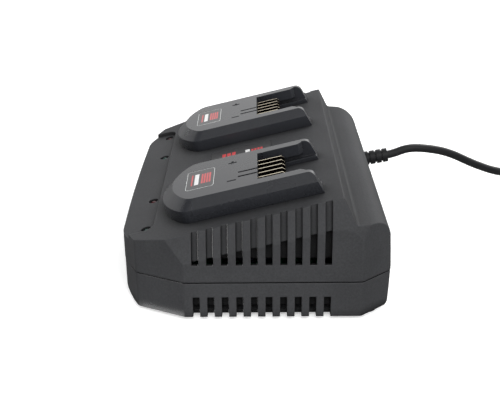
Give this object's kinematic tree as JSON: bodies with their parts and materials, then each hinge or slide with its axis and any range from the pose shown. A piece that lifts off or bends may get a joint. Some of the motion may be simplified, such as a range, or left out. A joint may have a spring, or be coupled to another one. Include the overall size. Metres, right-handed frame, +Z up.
{
  "type": "power tool battery charger",
  "caption": "Twin-bay wedge-shaped charger for slide-on power tool batteries, with raised docks, status lamps, side vents and a mains lead.",
  "frame": {"origin": "centre of the casing's footprint, on the surface the rubber feet stand on", "axes": "+Z up, +X to the right as seen from the front, front with the lamps faces -Y, mains lead leaves at +Y"},
  "size_m": [0.258, 0.456, 0.0937],
  "materials": {
    "screw_steel": "zinc plated",
    "contact_metal": "nickel plated, bright cut edges",
    "black_plastic": "satin",
    "lead_rubber": "smooth jacket",
    "label_film": "satin film",
    "dock_plastic": "fine spark-eroded texture",
    "film_capacitor_case": "moulded",
    "foot_rubber": "dull",
    "sink_aluminium": "extruded",
    "lamp_red": "clear tinted resin",
    "lamp_green": "clear tinted resin",
    "board_laminate": "solder resist",
    "tie_fabric": "woven band",
    "casing_plastic": "fine spark-eroded texture",
    "capacitor_can": "sleeved can",
    "winding_copper": "enamelled wire",
    "plug_plastic": "moulded",
    "plate_film": "satin film",
    "pin_metal": "nickel plated",
    "ferrite": "dull ground"
  },
  "bodies": {
    "root": {"board_screws": "screw_steel", "casing_screws": "screw_steel", "clamp_screws": "screw_steel", "contact_blade_left_1": "contact_metal", "contact_blade_left_2": "contact_metal", "contact_blade_left_3": "contact_metal", "contact_blade_left_4": "contact_metal", "contact_blade_left_5": "contact_metal", "contact_blade_right_1": "contact_metal", "contact_blade_right_2": "contact_metal", "contact_blade_right_3": "contact_metal", "contact_blade_right_4": "contact_metal", "contact_blade_right_5": "contact_metal", "cord_clamp": "black_plastic", "cord_tail": "lead_rubber", "dock_label_left": "label_film", "dock_label_right": "label_film", "dock_left": "dock_plastic", "dock_right": "dock_plastic", "dock_screws_left": "screw_steel", "dock_screws_right": "screw_steel", "filter_capacitor": "film_capacitor_case", "foot_back_left": "foot_rubber", "foot_back_right": "foot_rubber", "foot_front_left": "foot_rubber", "foot_front_right": "foot_rubber", "fuse": "black_plastic", "heat_sink_left": "sink_aluminium", "heat_sink_right": "sink_aluminium", "lamp_1": "lamp_red", "lamp_2": "lamp_green", "lamp_3": "lamp_red", "lamp_4": "lamp_green", "lamp_board": "board_laminate", "lamp_board_screws": "screw_steel", "lead_coil": "lead_rubber", "lead_tie": "tie_fabric", "lower_shell": "casing_plastic", "main_board": "board_laminate", "mains_capacitor": "capacitor_can", "mains_choke": "winding_copper", "mains_lead": "lead_rubber", "mains_plug": "plug_plastic", "middle_plate": "plate_film", "output_capacitor_1": "capacitor_can", "output_capacitor_2": "capacitor_can", "plug_lead": "lead_rubber", "plug_pins": "pin_metal", "strain_relief": "lead_rubber", "terminal_holder_left": "black_plastic", "terminal_holder_right": "black_plastic", "transformer_core_left": "ferrite", "transformer_core_right": "ferrite", "transformer_winding_left": "winding_copper", "transformer_winding_right": "winding_copper", "transistor_left": "black_plastic", "transistor_right": "black_plastic", "upper_shell": "casing_plastic"}
  },
  "joints": []
}
